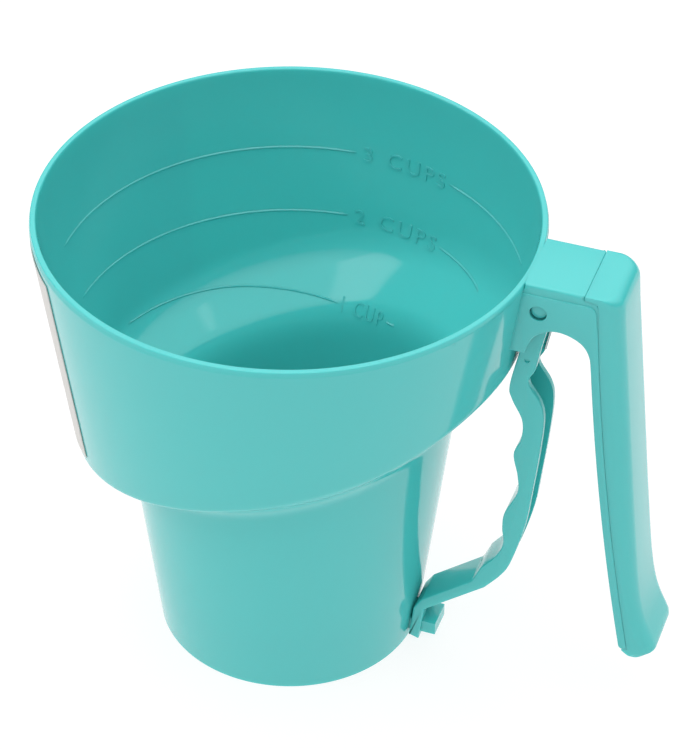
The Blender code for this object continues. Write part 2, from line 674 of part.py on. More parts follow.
# ------------------------------------------------------------------ the drive under the screen
def make_drive_link():
    """A flat bar: a head outside the trigger's fork, a neck, a bar through the wall and a yoke for the crank."""
    half = LINK_WIDTH / 2
    neck = LINK_NECK / 2
    neck_in = LINK_REST_X - FOOT_PLATE / 2 - 0.0006
    neck_out = LINK_REST_X + FOOT_PLATE / 2 + 0.0007
    head = neck_out + LINK_HEAD
    slot_half = CRANK_PIN_RADIUS + YOKE_PLAY
    near = CRANK_RADIUS * math.cos(CRANK_SWING) - CRANK_PIN_RADIUS - GAP
    far = CRANK_RADIUS + CRANK_PIN_RADIUS + GAP
    rim = 0.0030
    left, right = YOKE_X - slot_half - rim, YOKE_X + slot_half + rim
    grip = LINK_HEAD_WIDTH / 2
    outer = rounded([(left, -half, 0.002), (neck_in, -half, 0), (neck_in, -neck, 0), (neck_out, -neck, 0),
                     (neck_out, -grip, 0), (head, -grip, 0.0010), (head, grip, 0.0010),
                     (neck_out, grip, 0), (neck_out, neck, 0), (neck_in, neck, 0), (neck_in, half, 0),
                     (right + 0.0060, half, 0.004), (right, half + 0.0060, 0.004), (right, far + rim, 0.004),
                     (left, far + rim, 0.004)])
    slot = rounded([(YOKE_X - slot_half, near, 0.0018), (YOKE_X + slot_half, near, 0.0018),
                    (YOKE_X + slot_half, far, 0.0018), (YOKE_X - slot_half, far, 0.0018)])
    link = plate("drive_link", [outer, slot], LINK_HEIGHT)
    return place(lift(link, LINK_MID_Z), INNER)


def make_crank():
    """Lever on the shaft's lower end; its pin reaches down into the link's yoke."""
    pin_x = -CRANK_RADIUS * math.sin(CRANK_SWING)
    pin_y = CRANK_RADIUS * math.cos(CRANK_SWING)
    lever = math.atan2(pin_y, pin_x)
    hub, tip = HUB_RADIUS, CRANK_PIN_RADIUS + 0.0022
    big = [(hub * math.cos(a), hub * math.sin(a))
           for a in np.linspace(lever + math.radians(80), lever + math.radians(280), 13)]
    small = [(pin_x + tip * math.cos(a), pin_y + tip * math.sin(a))
             for a in np.linspace(lever - math.radians(80), lever + math.radians(80), 9)]
    crank = place(lift(plate("crank", [big + small], CRANK_THICKNESS), CRANK_Z + CRANK_THICKNESS / 2), INNER)
    cut(crank, place(rod("crank_pin", CRANK_PIN_RADIUS, LINK_Z - 0.0004, CRANK_Z + 0.001, 20, pin_x, pin_y)), "UNION")
    cut(crank, place(rod("crank_bore", SHAFT_RADIUS + RUNNING, 0.0, 0.03, 24)))
    return crank


def make_shaft():
    shaft = rod("agitator_shaft", SHAFT_RADIUS, CRANK_Z + 0.0002, AGITATOR_TOP_Z + 0.0024, 24)
    return place(shaft, METAL)


def make_washer():
    return place(ring("shaft_washer", SHAFT_RADIUS + RUNNING, HUB_RADIUS - 0.0008, CRANK_TOP_Z + GAP,
                      CRANK_TOP_Z + GAP + 0.0006, 32), METAL)


def make_screen_frame():
    """Ring with four spokes and a bearing hub; it drops onto the cup's inner ledge."""
    outer = lower_radius(FRAME_Z) - WALL - GAP
    frame = place(ring("screen_frame", outer - RING_WIDTH, outer, FRAME_Z, FRAME_TOP_Z), INNER)
    reach = outer - RING_WIDTH / 2
    for i in range(2):
        spoke = block(f"spoke_{i}", (-reach, -0.0011, FRAME_Z + 0.0008), (reach, 0.0011, FRAME_TOP_Z - 0.0004))
        turn = math.radians(45 + 90 * i)
        for vert in spoke.data.vertices:
            x, y, z = vert.co
            vert.co = (x * math.cos(turn) - y * math.sin(turn), x * math.sin(turn) + y * math.cos(turn), z)
        cut(frame, place(spoke), "UNION")
    hub_foot = CRANK_TOP_Z + 2 * GAP + 0.0006
    cut(frame, place(rod("frame_hub", HUB_RADIUS, hub_foot, FRAME_TOP_Z, 32)), "UNION")
    cut(frame, place(rod("frame_bore", SHAFT_RADIUS + RUNNING, 0.0, 0.04, 24)))
    return frame


def make_screen():
    outer = lower_radius(FRAME_TOP_Z) - WALL - 2 * GAP
    return place(ring("mesh_screen", SHAFT_RADIUS + 0.0008, outer, SCREEN_Z, SCREEN_Z + SCREEN_THICKNESS), METAL)


def make_clamp_ring():
    outer = lower_radius(CLAMP_Z) - WALL - GAP
    return place(ring("screen_clamp_ring", outer - RING_WIDTH, outer, CLAMP_Z, CLAMP_Z + CLAMP_HEIGHT), INNER)


def make_agitator():
    """Hub with four swept blades that skim the screen."""
    hub = place(rod("agitator", HUB_RADIUS, AGITATOR_Z, AGITATOR_TOP_Z, 32), INNER)
    reach = lower_radius(CLAMP_Z) - WALL - RING_WIDTH - 0.0022
    for i in range(AGITATOR_ARMS):
        turn = 2 * math.pi * i / AGITATOR_ARMS
        middle = []
        for t in np.linspace(0.0, 1.0, 9):
            radius = HUB_RADIUS * 0.5 + (reach - HUB_RADIUS * 0.5) * t
            sweep = turn + 0.55 * t * t
            middle.append((radius * math.cos(sweep), radius * math.sin(sweep)))
        sides = [offset_line([Vector(p) for p in middle], s * BLADE / 2) for s in (1, -1)]
        outline = [tuple(p) for p in sides[0]] + [tuple(p) for p in sides[1][::-1]]
        blade = plate(f"blade_{i}", [outline], AGITATOR_HEIGHT - 0.0018)
        cut(hub, place(lift(blade, AGITATOR_Z + (AGITATOR_HEIGHT - 0.0018) / 2)), "UNION")
    cut(hub, place(rod("agitator_bore", SHAFT_RADIUS + RUNNING, 0.0, 0.05, 24)))
    return hub


def make_cap():
    """Push-on cap over the shaft's upper end."""
    low = AGITATOR_TOP_Z + GAP
    bore = SHAFT_RADIUS + RUNNING
    top = AGITATOR_TOP_Z + 0.0024 + GAP
    profile = [(0.0, top + 0.0012), (0.0022, top + 0.0011), (0.0036, top + 0.0004), (0.0042, low + 0.0004),
               (0.0042, low), (bore, low), (bore, top), (0.0, top)]
    return place(turned("shaft_cap", profile, 32), METAL)


# ------------------------------------------------------------------ the label
def make_label():
    """A thin plain label wrapped on the upper wall, opposite the handle."""
    count = 2 * round(LABEL_HALF_ANGLE / (2 * math.pi / STEPS))
    step = 2 * LABEL_HALF_ANGLE / count
    top = CUP_HEIGHT - LABEL_MARGIN
    shape = bmesh.new()
    rows = []
    for i in range(count + 1):
        angle = math.pi - LABEL_HALF_ANGLE + step * i
        low = skirt_edge(angle).y + SKIRT_ROUND + 0.0020
        row = []
        for z, out in ((top, 0.0), (low, 0.0), (low, LABEL_THICKNESS), (top, LABEL_THICKNESS)):
            r = upper_radius(z) + GAP + out
            row.append(shape.verts.new((r * math.cos(angle), r * math.sin(angle), z)))
        rows.append(row)
    for a, b in zip(rows, rows[1:]):
        for k in range(4):
            shape.faces.new((a[k], a[(k + 1) % 4], b[(k + 1) % 4], b[k]))
    shape.faces.new(rows[0])
    shape.faces.new(list(reversed(rows[-1])))
    return place(from_bmesh("front_label", shape), PAPER)


# ------------------------------------------------------------------ build
clear_scene()
CUP_X = (upper_radius(CUP_HEIGHT - RIM_STEP_HEIGHT) - max(a for a, b in shell_outline())) / 2
PARTS = new_collection("flour_sifter")
CUTTERS = new_collection("cutters")
CARRIER = bpy.data.objects.new("cup_axis", None)
CARRIER.location = (CUP_X, 0.0, 0.0)
PARTS.objects.link(CARRIER)

PLASTIC = finish_material("turquoise_plastic", TEAL, 0.28, 0.0)
INNER = finish_material("inner_plastic", DEEP_TEAL, 0.35, 0.0)
METAL = finish_material("steel", STEEL, 0.25, 1.0)
PAPER = finish_material("label_paper", WHITE, 0.45, 0.0)

make_cup_body()
make_back_shell()
make_trigger()
make_pivot_pin()
make_spring()
make_drive_link()
make_crank()
make_shaft()
make_washer()
make_screen_frame()
make_screen()
make_clamp_ring()
make_agitator()
make_cap()
make_label()
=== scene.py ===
"""Looks for the squeeze-handle flour sifter: turquoise moulded plastic, a steel spring and a fine screen.

Lengths are metres.  The CAD frame is loaded first and never moved; every new surface below is worked out
in the frame of the cup (its axis at x = 0) and set down at the axis of the CAD shaft.
"""
import math

import bmesh
import bpy
import numpy as np
from mathutils import Matrix, Vector


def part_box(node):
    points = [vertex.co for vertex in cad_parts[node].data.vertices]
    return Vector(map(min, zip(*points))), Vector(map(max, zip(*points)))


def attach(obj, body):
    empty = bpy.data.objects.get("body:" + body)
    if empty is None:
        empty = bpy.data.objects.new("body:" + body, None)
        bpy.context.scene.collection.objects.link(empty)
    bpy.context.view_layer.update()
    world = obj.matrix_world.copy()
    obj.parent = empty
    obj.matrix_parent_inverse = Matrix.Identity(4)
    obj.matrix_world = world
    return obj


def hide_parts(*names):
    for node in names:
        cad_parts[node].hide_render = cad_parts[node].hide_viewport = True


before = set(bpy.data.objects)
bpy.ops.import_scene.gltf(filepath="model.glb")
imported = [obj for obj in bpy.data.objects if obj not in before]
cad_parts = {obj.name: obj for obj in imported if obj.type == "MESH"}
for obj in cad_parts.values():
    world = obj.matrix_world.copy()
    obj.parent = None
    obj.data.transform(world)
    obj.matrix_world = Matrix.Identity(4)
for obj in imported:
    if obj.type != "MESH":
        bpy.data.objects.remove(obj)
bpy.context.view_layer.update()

# ------------------------------------------------------------------ sizes of the moulded pieces
RIM_HEIGHT = 0.1374
RIM_RADIUS = 0.0680
RIM_STEP = 0.0004
RIM_STEP_HEIGHT = 0.0012
UPPER_TAPER = 0.1366
FOOT_RADIUS = 0.0371
LOWER_TAPER = 0.1148
WALL = 0.0020
SKIRT_HEIGHT = 0.0822
SKIRT_SLOPE = 0.310
SKIRT_LIFT = 0.0032
SKIRT_LIFT_ANGLE = math.radians(38.0)
SKIRT_ROUND = 0.0018
FUNNEL_HEIGHT = 0.0322
FUNNEL_GRADE = 0.900
FUNNEL_SLOPE = 0.240
THROAT_LIFT = 0.3
FUNNEL_ROUND = 0.0060
THROAT_ROUND = 0.0045
THROAT_DROP = 0.0080
LEDGE_Z = 0.0140
MARK_RISE = 0.00028
MARK_WIDTH = 0.00035
LABEL_HALF = math.radians(43.5)

HALF_WIDTH = 0.0105
BRACKET_TOP = RIM_HEIGHT + 0.0007
PLATE_START = RIM_RADIUS - 2 * RIM_STEP
GRIP_TOP_X = 0.0860
GRIP_TOP_Z = 0.1140
GRIP_LEAN = 0.0928
GRIP_CURVE = 0.543
FRONT_STRIP = 0.0023
GRIP_DEPTHS = ((0.137, 0.0086), (0.119, 0.0089), (0.084, 0.0088), (0.062, 0.0081),
               (0.042, 0.0073), (0.031, 0.0077), (0.0215, 0.0100))
GRIP_FOOT_Z = 0.0187
BRACKET_REACH = 0.0830
EAR_TOE_X = 0.0681
EAR_BOTTOM_Z = 0.1161
ARCH_TOP_Z = 0.1250
ARCH_SHAPE = ((0.0853, 0.0060), (0.0834, 0.0026), (0.0800, 0.0006), (0.0762, 0.0000),
              (0.0729, 0.0011), (0.0700, 0.0037))
EAR_WALL = 0.0026
PANEL_RISE = 0.00035
PANEL_TOP_Z = 0.1353
PIVOT = Vector((0.0712, 0.0, 0.1298))
PIN_RADIUS = 0.00215
TRIGGER_HALF = 0.0057
TRIGGER_WALL = 0.0018
TRIGGER_HUB = 0.0039

UPPER_OUTSIDE = (RIM_RADIUS - UPPER_TAPER * RIM_HEIGHT, UPPER_TAPER)     # walls as (radius at z = 0, taper)
UPPER_INSIDE = (UPPER_OUTSIDE[0] - WALL, UPPER_TAPER)
LOWER_OUTSIDE = (FOOT_RADIUS, LOWER_TAPER)
LOWER_INSIDE = (FOOT_RADIUS - WALL, LOWER_TAPER)
shaft_low, shaft_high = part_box("agitator_shaft")
CUP_X = (shaft_low.x + shaft_high.x) / 2


# ------------------------------------------------------------------ mesh making
def mesh_from_arrays(name, points, faces, body, stands_for=(), smooth_angle=35.0):
    """Put an array of points and its faces in an object on the cup's axis that rides on a body."""
    mesh = bpy.data.meshes.new(name)
    placed = np.asarray(points, float) + (CUP_X, 0.0, 0.0)
    mesh.from_pydata(placed.tolist(), [], [tuple(int(i) for i in f) for f in faces])
    obj = bpy.data.objects.new(name, mesh)
    bpy.context.scene.collection.objects.link(obj)
    finish_mesh(obj, smooth_angle)
    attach(obj, body)
    if stands_for:
        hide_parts(*stands_for)
    return obj


def finish_mesh(obj, smooth_angle=35.0):
    """Merge doubles, turn the faces outwards and shade smooth except over sharp edges."""
    shape = bmesh.new()
    shape.from_mesh(obj.data)
    bmesh.ops.remove_doubles(shape, verts=shape.verts, dist=1e-7)
    bmesh.ops.recalc_face_normals(shape, faces=shape.faces)
    shape.to_mesh(obj.data)
    shape.free()
    obj.data.shade_smooth()
    obj.data.set_sharp_from_angle(angle=math.radians(smooth_angle))


def grid_faces(rows, cols, wrap_rows=False, wrap_cols=False, start=0):
    """Quads of a rows by cols grid of points, joined round where a direction wraps."""
    i = np.arange(rows if wrap_rows else rows - 1)[:, None]
    j = np.arange(cols if wrap_cols else cols - 1)[None, :]
    i1 = (i + 1) % rows
    j1 = (j + 1) % cols
    quads = np.stack([i * cols + j + 0 * i1, i * cols + j1, i1 * cols + j1, i1 * cols + j + 0 * j1], axis=-1)
    return (quads + start).reshape(-1, 4)


def tube_faces(rings, sides):
    """Faces of a tube of so many rings and sides, with both ends closed."""
    caps = [tuple(range(sides)), tuple(range((rings - 1) * sides, rings * sides))]
    return [tuple(f) for f in grid_faces(rings, sides, wrap_cols=True)] + caps


def fillet_rows(before, corner, after, steps, radius=None, reach=None):
    """Arc tangent to the lines corner-before and corner-after, for whole arrays of corners, given by its
    radius or by its reach along both lines (radius = reach tan(half angle)).

    point(k) = centre + radius (cos, sin), turned evenly from one tangent point to the other."""
    a = before - corner
    b = after - corner
    a /= np.linalg.norm(a, axis=-1, keepdims=True)
    b /= np.linalg.norm(b, axis=-1, keepdims=True)
    half = np.arccos(np.clip((a * b).sum(-1, keepdims=True), -1, 1)) / 2
    if reach is not None:
        radius = reach * np.tan(half)
    middle = a + b
    middle /= np.linalg.norm(middle, axis=-1, keepdims=True)
    centre = corner + middle * radius / np.sin(half)
    start = corner + a * radius / np.tan(half) - centre
    end = corner + b * radius / np.tan(half) - centre
    spread = np.pi - 2 * half
    t = np.linspace(0, 1, steps)[None, :, None]
    mix = (np.sin((1 - t) * spread[:, None]) * start[:, None] + np.sin(t * spread[:, None]) * end[:, None])
    return centre[:, None] + mix / np.sin(spread[:, None])


def rounded_outline(corners, steps=6):
    """Closed outline from corners (a, b, radius); each corner becomes an arc of its radius."""
    c = np.array([p[:2] for p in corners], float)
    r = np.array([p[2] for p in corners], float)
    out = []
    n = len(c)
    for i in range(n):
        a, b = c[i - 1] - c[i], c[(i + 1) % n] - c[i]
        la, lb = np.linalg.norm(a), np.linalg.norm(b)
        half = math.acos(np.clip(a @ b / la / lb, -1, 1)) / 2
        if r[i] <= 0 or half > math.radians(88.5):
            out.append(c[i][None])
            continue
        reach = min(r[i] / math.tan(half), la * 0.49, lb * 0.49)
        out.append(fillet_rows(c[i - 1][None], c[i][None], c[(i + 1) % n][None], steps, reach=reach)[0])
    return np.concatenate(out)


def smooth_line(points, steps=8):
    """Open line through the points by Catmull-Rom cubics:
    p(t) = ½(2p1 + (p2 - p0)t + (2p0 - 5p1 + 4p2 - p3)t² + (3p1 - p0 - 3p2 + p3)t³)."""
    p = np.array(points, float)
    p = np.vstack([2 * p[0] - p[1], p, 2 * p[-1] - p[-2]])
    p0, p1, p2, p3 = p[:-3, None], p[1:-2, None], p[2:-1, None], p[3:, None]
    t = np.linspace(0, 1, steps, endpoint=False)[None, :, None]
    line = 0.5 * (2 * p1 + (p2 - p0) * t + (2 * p0 - 5 * p1 + 4 * p2 - p3) * t ** 2
                  + (3 * p1 - p0 - 3 * p2 + p3) * t ** 3)
    return np.vstack([line.reshape(-1, p.shape[1]), p[-2]])


def inward_normals(outline):
    """Unit normals of a closed outline, pointing to its inside."""
    ahead = np.roll(outline, -1, axis=0) - outline
    back = outline - np.roll(outline, 1, axis=0)
    ahead /= np.linalg.norm(ahead, axis=1, keepdims=True) + 1e-12
    back /= np.linalg.norm(back, axis=1, keepdims=True) + 1e-12
    along = ahead + back
    along /= np.linalg.norm(along, axis=1, keepdims=True) + 1e-12
    area = 0.5 * np.sum(outline[:, 0] * np.roll(outline[:, 1], -1)
                        - outline[:, 1] * np.roll(outline[:, 0], -1))
    side = 1.0 if area > 0 else -1.0
    return side * np.column_stack([-along[:, 1], along[:, 0]])


def slab(outline, low, high, edge, edge_steps=5, weight=1.0):
    """A side outline (x, z) carried along y; near both ends it shrinks inwards by a quarter circle:
    inset(a) = weight edge (1 - sin a), y(a) = end - edge (1 - cos a)."""
    outline = np.asarray(outline, float)
    normal = inward_normals(outline) * np.reshape(weight, (-1, 1))
    a = np.linspace(0 if edge > 0 else math.pi / 2, math.pi / 2, edge_steps if edge > 0 else 1)
    inset = np.concatenate([edge * (1 - np.sin(a)), edge * (1 - np.sin(a[::-1]))])
    y = np.concatenate([low + edge * (1 - np.cos(a)), high - edge * (1 - np.cos(a[::-1]))])
    if edge == 0:
        y = np.array([low, high])
    rows = outline[None] + normal[None] * inset[:, None, None]
    pts = np.stack([rows[..., 0], np.broadcast_to(y[:, None], rows.shape[:2]), rows[..., 1]], axis=-1)
    n, m = rows.shape[:2]
    faces = [tuple(f) for f in grid_faces(n, m, wrap_cols=True)]
    faces += [tuple(range(m)), tuple(range((n - 1) * m, n * m))]
    return pts.reshape(-1, 3), faces


def cross_rod(radius, low, high, centre, steps=48, edge=0.0):
    """A round bar along y with its ends' edges rounded."""
    turn = np.linspace(0, 2 * math.pi, steps, endpoint=False)
    outline = np.column_stack([centre[0] + radius * np.cos(turn), centre[1] + radius * np.sin(turn)])
    return slab(outline, low, high, edge, 3)


def scratch(name, points, faces):
    """A helper body for a Boolean, taken away afterwards."""
    mesh = bpy.data.meshes.new(name)
    mesh.from_pydata((np.asarray(points, float) + (CUP_X, 0.0, 0.0)).tolist(), [],
                     [tuple(int(i) for i in f) for f in faces])
    obj = bpy.data.objects.new(name, mesh)
    bpy.context.scene.collection.objects.link(obj)
    finish_mesh(obj)
    return obj


def carve(obj, steps, smooth_angle=35.0):
    """Join and cut bodies one after the other, then keep the result as the object's own mesh."""
    for tool, operation in steps:
        step = obj.modifiers.new(tool.name, "BOOLEAN")
        step.operation = operation
        step.object = tool
        step.solver = "EXACT"
    bpy.context.view_layer.update()
    result = bpy.data.meshes.new_from_object(obj.evaluated_get(bpy.context.evaluated_depsgraph_get()))
    obj.modifiers.clear()
    obj.data = result
    for tool, _ in steps:
        bpy.data.objects.remove(tool, do_unlink=True)
    finish_mesh(obj, smooth_angle)
    return obj


# ------------------------------------------------------------------ the cup
def meeting(wall, height, grade):
    """Corner rows (radius, z) where a wall, r = a + b z, meets a slope, z = height + grade r, at each angle:
    z = (height + grade a) / (1 - grade b)."""
    z = (height + grade * wall[0]) / (1 - grade * wall[1])
    return np.column_stack([wall[0] + wall[1] * z, z])


def on_wall(wall, z):
    return np.column_stack([wall[0] + wall[1] * z, z])


def lift_at(angle):
    """Extra climb of skirt and funnel under the bracket: lift exp(-(angle / width)⁴)."""
    folded = np.abs((angle + math.pi) % (2 * math.pi) - math.pi)
    return SKIRT_LIFT * np.exp(-(folded / SKIRT_LIFT_ANGLE) ** 4)


def skirt_edge(angle):
    """The upper wall's free lower edge, a slanting plane's cut: z = height + slope x, x = r cos(angle)."""
    steep = FUNNEL_GRADE + FUNNEL_SLOPE * np.cos(angle)
    under = FUNNEL_HEIGHT - WALL * np.hypot(1, steep)
    edge = meeting(UPPER_OUTSIDE, SKIRT_HEIGHT + lift_at(angle), SKIRT_SLOPE * np.cos(angle))
    limit = meeting(UPPER_OUTSIDE, under + lift_at(angle), steep)
    return np.where(limit[:, 1:] < edge[:, 1:], limit, edge)


def bend(before, corner, after, reach_before, reach_after, steps):
    """Soft curve past each corner, (1 - t)² start + 2t(1 - t) corner + t² end."""
    back, ahead = before - corner, after - corner
    start = corner + back * np.minimum(reach_before / np.linalg.norm(back, axis=1, keepdims=True), 0.45)
    end = corner + ahead * np.minimum(reach_after / np.linalg.norm(ahead, axis=1, keepdims=True), 0.45)
    t = np.linspace(0, 1, steps)[None, :, None]
    return (1 - t) ** 2 * start[:, None] + 2 * t * (1 - t) * corner[:, None] + t * t * end[:, None]


def filled(parts, counts):
    """Bends joined by straight runs that carry a number of points of their own."""
    line = [parts[0]]
    for part, count in zip(parts[1:], counts):
        t = np.linspace(0, 1, count + 2)[None, 1:-1, None]
        line += [line[-1][:, -1:] * (1 - t) + part[:, :1] * t, part]
    return np.concatenate(line, axis=1)


def outer_side(angle):
    """Outside from rim to foot: upper wall, its free edge, the funnel's underside, lower wall."""
    steep = FUNNEL_GRADE + FUNNEL_SLOPE * np.cos(angle)
    under = FUNNEL_HEIGHT - WALL * np.hypot(1, steep)
    high = under + lift_at(angle)
    rim = on_wall(UPPER_OUTSIDE, np.full_like(angle, RIM_HEIGHT))
    edge = skirt_edge(angle)
    lip = on_wall(UPPER_INSIDE, edge[:, 1])
    lip[:, 1] = np.minimum(lip[:, 1], high + steep * lip[:, 0])
    pocket = meeting((UPPER_INSIDE[0] - 0.0006, UPPER_TAPER), high, steep)
    throat = meeting(LOWER_OUTSIDE, under + THROAT_LIFT * lift_at(angle), steep)
    foot = on_wall(LOWER_OUTSIDE, np.zeros_like(angle))
    return filled([rim[:, None], bend(rim, edge, lip, SKIRT_ROUND, SKIRT_ROUND / 2, 9), lip[:, None],
                   bend(lip, pocket, throat, 0.0012, 0.0012, 5),
                   bend(pocket, throat, foot, THROAT_ROUND, THROAT_ROUND, 12), foot[:, None]],
                   (24, 0, 1, 8, 24))


def inner_side(angle):
    """Inside from rim to foot: upper wall, funnel and lower wall with long soft bends."""
    steep = FUNNEL_GRADE + FUNNEL_SLOPE * np.cos(angle)
    rim = on_wall(UPPER_INSIDE, np.full_like(angle, RIM_HEIGHT))
    brink = meeting(UPPER_INSIDE, FUNNEL_HEIGHT + lift_at(angle), steep)
    throat = meeting(LOWER_INSIDE, FUNNEL_HEIGHT + THROAT_LIFT * lift_at(angle), steep)
    foot = on_wall(LOWER_INSIDE, np.zeros_like(angle))
    return filled([rim[:, None], bend(rim, brink, throat, FUNNEL_ROUND, FUNNEL_ROUND, 16),
                   bend(brink, throat, foot, THROAT_ROUND, THROAT_DROP, 16), foot[:, None]], (24, 8, 24))


def make_cup_wall():
    """The wall's section, a closed loop of (radius, z), for every angle round the axis."""
    angle = np.linspace(0, 2 * math.pi, 360, endpoint=False)
    outer = outer_side(angle)
    inner = inner_side(angle)
    top = RIM_RADIUS - RIM_STEP
    edge = 0.00045
    low = RIM_HEIGHT - RIM_STEP_HEIGHT
    bore = RIM_RADIUS - WALL
    a = np.linspace(0, math.pi / 2, 5)
    rim = [(bore + 0.0002, RIM_HEIGHT), ((bore + top) / 2, RIM_HEIGHT)]
    rim += [(top - edge + edge * math.sin(v), RIM_HEIGHT - edge + edge * math.cos(v)) for v in a]
    rim += [(top + 0.0001, low + 0.0003), (top + 0.00015, low + 0.0001), (RIM_RADIUS - 0.00028, low)]
    wall_top = RIM_RADIUS - UPPER_TAPER * RIM_STEP_HEIGHT
    rim += [(wall_top - 0.0001, low - 0.00003), (wall_top - 0.00002, low - 0.0002)]
    rim = np.broadcast_to(np.array(rim)[None], (len(angle), len(rim), 2))
    outer = outer[:, 1:]
    floor_r = FOOT_RADIUS - WALL
    ledge_r = floor_r + LOWER_TAPER * LEDGE_Z
    foot = np.array([(FOOT_RADIUS - 0.0004, 0.0), (floor_r + 0.0003, 0.0), (floor_r, 0.0003),
                     (ledge_r - LOWER_TAPER * 0.003, LEDGE_Z - 0.0030), (ledge_r - 0.0015, LEDGE_Z - 0.0016),
                     (ledge_r - 0.0015, LEDGE_Z), (ledge_r, LEDGE_Z)])
    foot = np.broadcast_to(foot[None], (len(angle), len(foot), 2))
    keep = inner[0, :, 1] > LEDGE_Z + 0.0005
    back = inner[:, keep][:, ::-1]
    back = back[:, :-1]
    lip = np.broadcast_to(np.array([(bore - UPPER_TAPER * 0.0006, RIM_HEIGHT - 0.0006),
                                    (bore, RIM_HEIGHT - 0.0002)])[None], (len(angle), 2, 2))
    section = np.concatenate([rim, outer, foot, back, lip], axis=1)
    r, z = section[..., 0], section[..., 1]
    pts = np.stack([r * np.cos(angle)[:, None], r * np.sin(angle)[:, None], z], axis=-1)
    faces = grid_faces(len(angle), section.shape[1], wrap_rows=True, wrap_cols=True)
    cup = mesh_from_arrays("cup_wall", pts.reshape(-1, 3), faces, "cup", ("cup_body",), 40)
    link_low, link_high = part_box("drive_link")
    w = slab([(x, z) for x, z in ((0.030, link_low.z - 0.0005), (0.045, link_low.z - 0.0005),
                                  (0.045, link_high.z + 0.0005), (0.030, link_high.z + 0.0005))],
             -0.0044, 0.0044, 0)
    return carve(cup, [(scratch("window", *w), "DIFFERENCE")], 40)


def on_inner_face(angle, height, up, out):
    """Points on the cup's inner face, a way up the face from where it crosses a height, and out from it.

    The way is measured along the section; with the tangent T there and the normal N, point = S + out N."""
    spots = []
    lines = inner_side(angle)
    for line, rise, away in zip(lines, up, out):
        step = np.linalg.norm(np.diff(line, axis=0), axis=1)
        way = np.concatenate([[0.0], np.cumsum(step)])
        start = np.interp(-height, -line[:, 1], way)
        around = start - rise + np.array([-0.0004, 0.0, 0.0004])
        before, spot, after = np.column_stack([np.interp(around, way, line[:, 0]),
                                               np.interp(around, way, line[:, 1])])
        tangent = (after - before) / np.linalg.norm(after - before)
        spots.append(spot + away * np.array([tangent[1], -tangent[0]]))
    r, z = np.array(spots).T
    return np.column_stack([r * np.cos(angle), r * np.sin(angle), z])


def make_mark_line(name, height, start, end):
    """A raised hairline round the inner face: half a cosine across, sunk a little at its edges."""
    angle = np.radians(np.linspace(start, end, max(24, int(abs(end - start) * 1.5))))
    across = np.linspace(-1, 1, 7)
    up = np.concatenate([across * MARK_WIDTH, [MARK_WIDTH, -MARK_WIDTH]])
    out = np.concatenate([MARK_RISE * np.cos(across * math.pi / 2), [-0.00015, -0.00015]])
    fade = np.clip(np.minimum(np.arange(len(angle)), np.arange(len(angle))[::-1]) / 3.0, 0.15, 1.0)
    n, m = len(angle), len(up)
    lift = out[None] * np.where(out[None] > 0, fade[:, None], 1.0)
    pts = on_inner_face(np.repeat(angle, m), height, np.tile(up, n), lift.ravel())
    faces = tube_faces(n, m)
    return mesh_from_arrays(name, pts, faces, "cup")


def make_mark_text(name, words, height, start, end, tall):
    """Raised lettering laid on the inner face: across turns into angle, up stays along the face."""
    curve = bpy.data.curves.new(name, "FONT")
    curve.body = words
    curve.extrude = 0.5
    curve.space_character = 1.25
    curve.resolution_u = 4
    drawn = bpy.data.objects.new(name, curve)
    bpy.context.scene.collection.objects.link(drawn)
    bpy.context.view_layer.update()
    mesh = bpy.data.meshes.new_from_object(drawn.evaluated_get(bpy.context.evaluated_depsgraph_get()))
    bpy.data.objects.remove(drawn)
    co = np.empty(len(mesh.vertices) * 3)
    mesh.vertices.foreach_get("co", co)
    co = co.reshape(-1, 3)
    low, high = co.min(0), co.max(0)
    angle = np.radians(end + (start - end) * (co[:, 0] - low[0]) / (high[0] - low[0]))
    up = ((co[:, 1] - low[1]) / (high[1] - low[1]) - 0.5) * tall
    out = np.where(co[:, 2] > 0, MARK_RISE, -0.0002)
    pts = on_inner_face(angle, height, up, out)
    faces = [tuple(p.vertices) for p in mesh.polygons]
    bpy.data.meshes.remove(mesh)
    return mesh_from_arrays(name, pts, faces, "cup", (), 30)


def make_label():
    """Thin plain label on the upper wall opposite the handle, its lower edge following the shoulder."""
    n, m = 60, 16
    angle = math.pi + np.linspace(-LABEL_HALF, LABEL_HALF, n)
    low = skirt_edge(angle)[:, 1] + SKIRT_ROUND + 0.0020
    t = np.linspace(0, 1, m)[None]
    z = low[:, None] * (1 - t) + (RIM_HEIGHT - 0.0045) * t
    r = RIM_RADIUS - UPPER_TAPER * (RIM_HEIGHT - z)
    inner_face, outer_face = r + 0.0001, r + 0.00035
    rr = np.concatenate([inner_face, outer_face[:, ::-1]], axis=1)
    zz = np.concatenate([z, z[:, ::-1]], axis=1)
    pts = np.stack([rr * np.cos(angle)[:, None], rr * np.sin(angle)[:, None], zz], axis=-1).reshape(-1, 3)
    faces = [tuple(f) for f in grid_faces(n, 2 * m, wrap_cols=True)]
    for base in (0, (n - 1) * 2 * m):
        faces += [(base + k, base + k + 1, base + 2 * m - 2 - k, base + 2 * m - 1 - k) for k in range(m - 1)]
    return mesh_from_arrays("plain_label", pts, faces, "cup", ("front_label",))


# ------------------------------------------------------------------ bracket and grip
def grip_front(z):
    drop = GRIP_TOP_Z - z
    return GRIP_TOP_X + GRIP_LEAN * drop + GRIP_CURVE * drop * drop


def grip_back(z):
    heights = [s[0] for s in reversed(GRIP_DEPTHS)]
    depths = [s[1] for s in reversed(GRIP_DEPTHS)]
    return grip_front(z) + np.interp(z, heights, depths)


def bite(z):
    """Where the bracket starts, inside the cup's wall."""
    outer = RIM_RADIUS - UPPER_TAPER * (RIM_HEIGHT - z)
    return (outer - WALL + math.sqrt(outer ** 2 - HALF_WIDTH ** 2)) / 2


